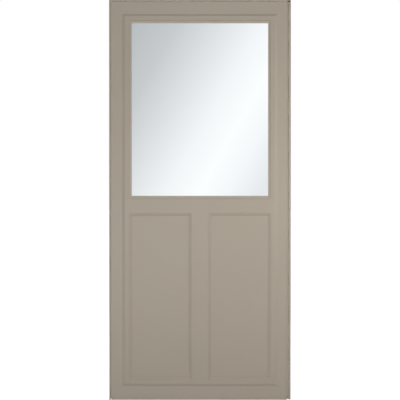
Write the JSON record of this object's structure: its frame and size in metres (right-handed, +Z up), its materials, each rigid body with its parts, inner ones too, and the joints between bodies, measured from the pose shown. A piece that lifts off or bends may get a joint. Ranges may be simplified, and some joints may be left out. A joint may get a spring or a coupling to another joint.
{
  "type": "storm door",
  "caption": "Outswing storm door: slim metal frame, full-length hinge, half-height fixed glass over pressed lower panels, bottom expander with sweep",
  "frame": {"origin": "on the outer flat face of the hinge jamb, at its foot, in the front plane of the leaf's border", "axes": "+X to the viewer's right from outside, so the leaf runs along -X; the outside looks along -Y; +Z up"},
  "size_m": [0.921, 0.051, 2.032],
  "materials": {
    "leaf_paint": "satin sandstone paint on an embossed skin",
    "panel_paint": "satin sandstone paint on a pressed skin",
    "frame_paint": "satin sandstone paint on extruded aluminium",
    "bead_paint": "satin sandstone paint on a slim trim section",
    "hinge_paint": "satin sandstone paint on a rolled hinge",
    "pin_steel": "drawn, bare",
    "pile_seal": "short dense pile",
    "sweep_vinyl": "matt soft vinyl",
    "clear_glass": "clear tempered pane"
  },
  "bodies": {
    "frame": {"hinge_jamb": "frame_paint", "latch_jamb": "frame_paint", "head_jamb": "frame_paint", "frame_hinge_leaf": "hinge_paint", "hinge_pin": "pin_steel", "latch_edge_seal": "pile_seal", "head_edge_seal": "pile_seal", "hinge_stop_seal": "pile_seal", "latch_stop_seal": "pile_seal", "head_stop_seal": "pile_seal"},
    "leaf": {"latch_stile": "leaf_paint", "hinge_stile": "leaf_paint", "top_rail": "leaf_paint", "bottom_rail": "leaf_paint", "lock_rail": "leaf_paint", "mullion": "leaf_paint", "latch_side_panel": "panel_paint", "hinge_side_panel": "panel_paint", "glass_pane": "clear_glass", "latch_bead": "bead_paint", "hinge_bead": "bead_paint", "top_bead": "bead_paint", "bottom_bead": "bead_paint", "latch_retainer": "bead_paint", "hinge_retainer": "bead_paint", "top_retainer": "bead_paint", "bottom_retainer": "bead_paint", "leaf_hinge_leaf": "hinge_paint", "bottom_expander": "frame_paint", "bottom_sweep": "sweep_vinyl"}
  },
  "joints": [
    {"name": "door_swing", "type": "hinge", "parent": "frame", "child": "leaf", "pos_m": [-0.0073, 0, 1.016], "axis": [0, 0, 1], "range_deg": [0, 110]}
  ]
}
